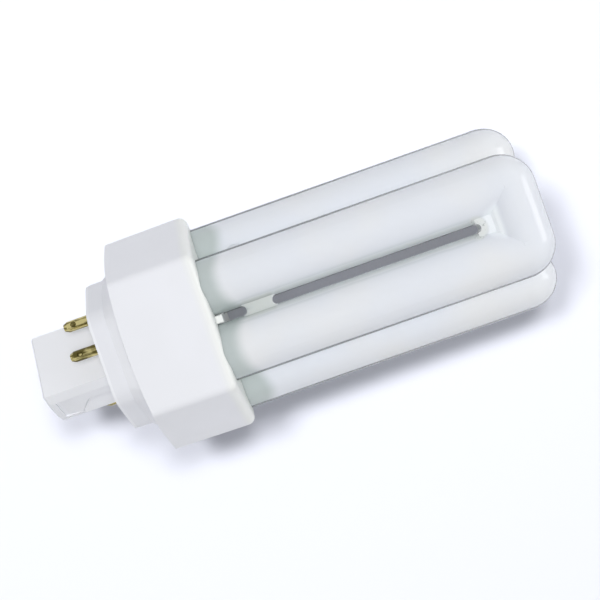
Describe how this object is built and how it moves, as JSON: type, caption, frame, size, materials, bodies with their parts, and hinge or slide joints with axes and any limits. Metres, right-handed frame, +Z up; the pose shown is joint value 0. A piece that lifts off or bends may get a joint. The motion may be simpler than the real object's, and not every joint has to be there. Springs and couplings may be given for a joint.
{
  "type": "four pin compact fluorescent lamp",
  "caption": "Plug-in compact fluorescent lamp: bent glass tubes in a six-sided plastic holder, with a keyed post and brass contact pins.",
  "frame": {"origin": "on the surface that the lamp lies on, under the middle of its bounding box", "axes": "+X along the lamp from its post to its glass end, which dips by 3 degrees as it lies; +Z up; +Y to the left, seen from the post"},
  "size_m": [0.1124, 0.0466, 0.0415],
  "materials": {
    "coated_glass": "gloss glass over a white phosphor coat",
    "holder_plastic": "satin moulded",
    "base_plastic": "satin moulded",
    "cement": "matte fired cement",
    "pin_brass": "drawn brass, a little dulled",
    "lead_wire": "nickel wire"
  },
  "bodies": {
    "root": {"discharge_tube": "coated_glass", "tube_holder": "holder_plastic", "tube_cement": "cement", "base_cap": "base_plastic", "contact_pin_1": "pin_brass", "lead_wire_1": "lead_wire", "contact_pin_2": "pin_brass", "lead_wire_2": "lead_wire", "contact_pin_3": "pin_brass", "lead_wire_3": "lead_wire", "contact_pin_4": "pin_brass", "lead_wire_4": "lead_wire"}
  },
  "joints": []
}
